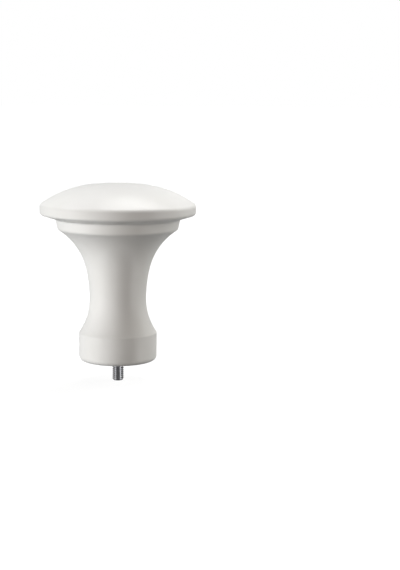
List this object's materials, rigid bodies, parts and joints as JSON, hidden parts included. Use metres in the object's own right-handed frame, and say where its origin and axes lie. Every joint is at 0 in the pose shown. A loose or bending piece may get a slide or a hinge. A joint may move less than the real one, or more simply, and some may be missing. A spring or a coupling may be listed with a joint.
{
  "type": "curtain pole finial",
  "caption": "Turned mushroom-shaped curtain pole finial: domed rim over a flared neck and short barrel, with a metric threaded stud standing out of its flat seat.",
  "frame": {"origin": "middle of the seat, the flat end face that meets the pole, where the stud leaves it", "axes": "+Z along the turning axis from the seat to the domed front; the stud points down -Z"},
  "size_m": [0.0535, 0.0534, 0.0685],
  "materials": {
    "white_lacquer": "warm white satin lacquer on turned wood",
    "zinc_plate": "bright zinc plated steel"
  },
  "bodies": {
    "root": {"turned_body": "white_lacquer", "threaded_stud": "zinc_plate"}
  },
  "joints": []
}
